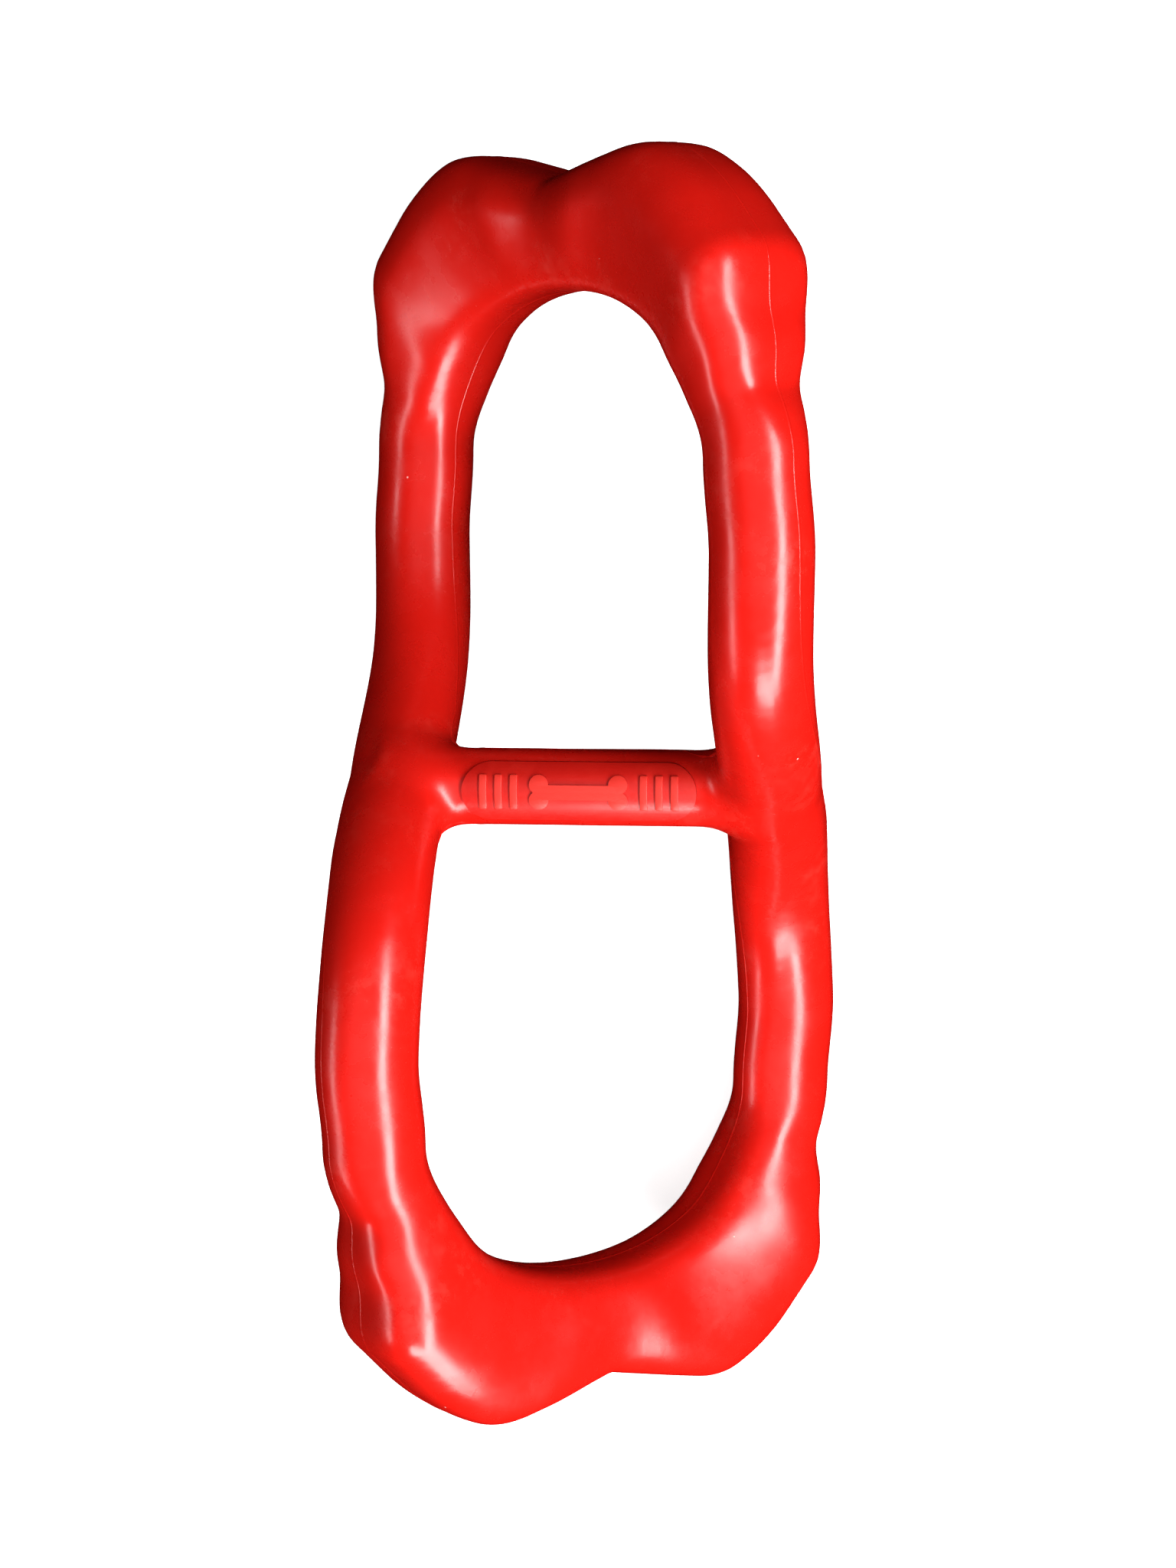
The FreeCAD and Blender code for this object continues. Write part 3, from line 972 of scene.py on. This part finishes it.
class TUGTOY_OT_marks(bpy.types.Operator):
    """Build the raised marks on the badge: a plain bone between short ribs"""

    bl_idname = "tugtoy.marks"
    bl_label = "Badge Marks"

    def execute(self, context):
        badge = context.scene.tug_toy_badge
        foot, top, rim = PAD_HIGH[2] - badge.mark_foot, MARK_HIGH[2], badge.mark_rim
        outlines = {"bone": bone_outline(badge)}
        rib = rounded_bar_outline(badge.rib_half_width, badge.rib_half_height, badge.rib_corner, 4)
        for side, word in ((-1, "left"), (1, "right")):
            for count in range(3):
                middle = side * (badge.rib_first + badge.rib_pitch * count)
                outlines[f"rib_{word}_{count}"] = [(x + middle, y) for x, y in rib]
        for name, outline in outlines.items():
            mark = raised_piece(f"mark_{name}", outline, foot, top, rim, 0.5 * MM)
            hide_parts("badge_relief")
        return {"FINISHED"}


# Softboxes: name, place and size in metres, share of the key light's power, and whether the
# rubber's gloss shows it.
LIGHTS = (
    ("key", (0.76, -0.25, 0.74), (0.26, 1.7), 1.0, True),
    ("side", (-0.92, -0.30, 0.42), (0.12, 0.8), 0.08, True),
    ("front", (0.20, -0.95, 0.62), (0.60, 0.30), 0.34, True),
    ("top", (0.0, 0.0, 1.6), (1.6, 1.6), 0.55, False),
)
FLOOR_REACH = 6.0
# What the camera is aimed at, off the middle of the crossbar.
AIM = (1.03 * MM, 0.72 * MM)


class TUGTOY_OT_stage(bpy.types.Operator):
    """Set up the floor, the lights and the camera"""

    bl_idname = "tugtoy.stage"
    bl_label = "Stage"

    def execute(self, context):
        stage = context.scene.tug_toy_stage
        self.floor(context)
        self.camera(context, stage)
        self.lights(context, stage)
        return {"FINISHED"}

    def floor(self, context):
        """The pale sheet, as high as the toy's lowest point."""
        mesh = bpy.data.meshes.new("floor")
        turns = ((-1, -1), (1, -1), (1, 1), (-1, 1))
        corners = [(x * FLOOR_REACH, y * FLOOR_REACH, CAD_BOX[0][2]) for x, y in turns]
        mesh.from_pydata(corners, [], [(0, 1, 2, 3)])
        floor = bpy.data.objects.new("floor", mesh)
        mesh.materials.append(shared_material(pale_sheet))
        context.scene.collection.objects.link(floor)
        floor.visible_glossy = False
        floor.visible_diffuse = False

    def camera(self, context, stage):
        """The camera, turned round the toy as a whole."""
        data = bpy.data.cameras.new("camera")
        data.lens = stage.lens
        data.sensor_width = 36.0
        data.clip_start = 0.01
        data.clip_end = 50.0
        camera = bpy.data.objects.new("camera", data)
        around = Matrix.Rotation(-stage.azimuth, 4, "Y")
        over = Matrix.Rotation(stage.elevation, 4, "X")
        roll = Matrix.Rotation(stage.roll, 4, "Z")
        aim = Matrix.Translation((*AIM, stage.distance))
        camera.matrix_world = (roll @ over @ around).inverted() @ aim
        context.scene.collection.objects.link(camera)
        context.scene.camera = camera

    def lights(self, context, stage):
        """The softboxes and the pale surround."""
        for name, place, size, share, in_gloss in LIGHTS:
            light = self.soft_light(context, name, place, size, stage.key * share)
            light.visible_glossy = in_gloss
        world = bpy.data.worlds.new("studio")
        world.use_nodes = True
        background = world.node_tree.nodes["Background"]
        background.inputs["Color"].default_value = (1, 1, 1, 1)
        background.inputs["Strength"].default_value = 0.95
        # The pale surround is seen, but neither lights the toy nor shows in its gloss.
        world.cycles_visibility.diffuse = False
        world.cycles_visibility.glossy = False
        context.scene.world = world
        context.scene.view_settings.view_transform = "Standard"

    @staticmethod
    def soft_light(context, name, place, size, power):
        """A softbox that faces the toy: its size across the toy, and along it."""
        data = bpy.data.lights.new(name, "AREA")
        data.shape = "RECTANGLE"
        data.size, data.size_y = size
        data.energy = power
        light = bpy.data.objects.new(name, data)
        away = Vector(place).normalized()
        across = Vector((0, 1, 0)).cross(away).normalized()
        turn = Matrix((across, away.cross(across), away)).transposed().to_4x4()
        light.matrix_world = Matrix.Translation(place) @ turn
        context.scene.collection.objects.link(light)
        return light


class TUGTOY_PT_panel(bpy.types.Panel):
    """Tug toy tools"""

    bl_idname = "TUGTOY_PT_panel"
    bl_label = "Tug Toy"
    bl_space_type = "VIEW_3D"
    bl_region_type = "UI"
    bl_category = "Tug Toy"

    def draw(self, context):
        for operator in OPERATORS:
            self.layout.operator(operator.bl_idname)
        for group in GROUPS:
            settings = getattr(context.scene, GROUPS[group])
            box = self.layout.box()
            for name in group.__annotations__:
                box.prop(settings, name)


OPERATORS = (
    TUGTOY_OT_moulding,
    TUGTOY_OT_parting_line,
    TUGTOY_OT_badge,
    TUGTOY_OT_marks,
    TUGTOY_OT_stage,
)
GROUPS = {
    TugToyShape: "tug_toy_shape",
    TugToyBadge: "tug_toy_badge",
    TugToyFinish: "tug_toy_finish",
    TugToyStage: "tug_toy_stage",
}


def register():
    """Adds the classes to Blender, and the settings to its scenes."""
    for cls in (*GROUPS, *OPERATORS, TUGTOY_PT_panel):
        bpy.utils.register_class(cls)
    for group, name in GROUPS.items():
        setattr(bpy.types.Scene, name, bpy.props.PointerProperty(type=group))


def unregister():
    """Takes them out again."""
    for name in GROUPS.values():
        delattr(bpy.types.Scene, name)
    for cls in reversed((*GROUPS, *OPERATORS, TUGTOY_PT_panel)):
        bpy.utils.unregister_class(cls)


def main():
    """Builds the toy and its stage."""
    register()
    bpy.ops.tugtoy.moulding()
    bpy.ops.tugtoy.parting_line()
    bpy.ops.tugtoy.badge()
    bpy.ops.tugtoy.marks()
    bpy.ops.tugtoy.stage()


if __name__ == "__main__":
    main()
